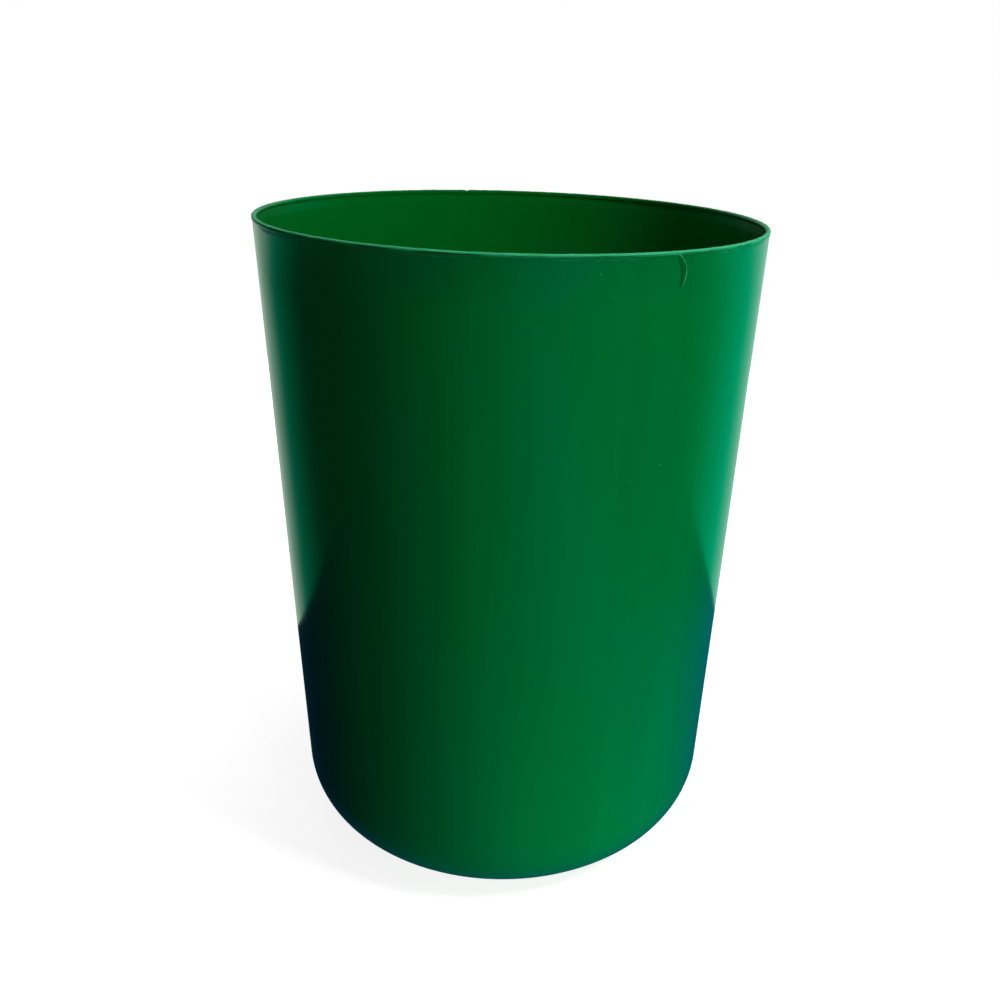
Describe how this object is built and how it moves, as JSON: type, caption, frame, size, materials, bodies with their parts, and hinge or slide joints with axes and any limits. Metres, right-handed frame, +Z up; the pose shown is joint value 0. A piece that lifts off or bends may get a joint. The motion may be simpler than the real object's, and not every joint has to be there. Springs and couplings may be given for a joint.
{
  "type": "florist bucket",
  "caption": "Tall open florist bucket: a gently tapered round plastic moulding with a large rounded base corner, a pushed-up floor, a slim trimmed lip and stray flash left at the lip.",
  "frame": {"origin": "centre of the plane that the bucket stands on", "axes": "+Z up along the bucket's axis, out of its mouth; -Y is the side that faces the viewer, with the flash strand to the viewer's right; +X is to the viewer's right"},
  "size_m": [0.24, 0.2403, 0.32],
  "materials": {
    "green_plastic": "glossy deep green injection-moulded polypropylene, smooth, with faint upright flow marks",
    "trimmed_plastic": "the same plastic where it was cut or torn thin, paler and duller"
  },
  "bodies": {
    "root": {"bucket_body": "green_plastic", "flash_film_right": "trimmed_plastic", "flash_film_front": "trimmed_plastic", "flash_film_left": "trimmed_plastic", "flash_film_far_left": "trimmed_plastic", "flash_strand": "trimmed_plastic"}
  },
  "joints": []
}
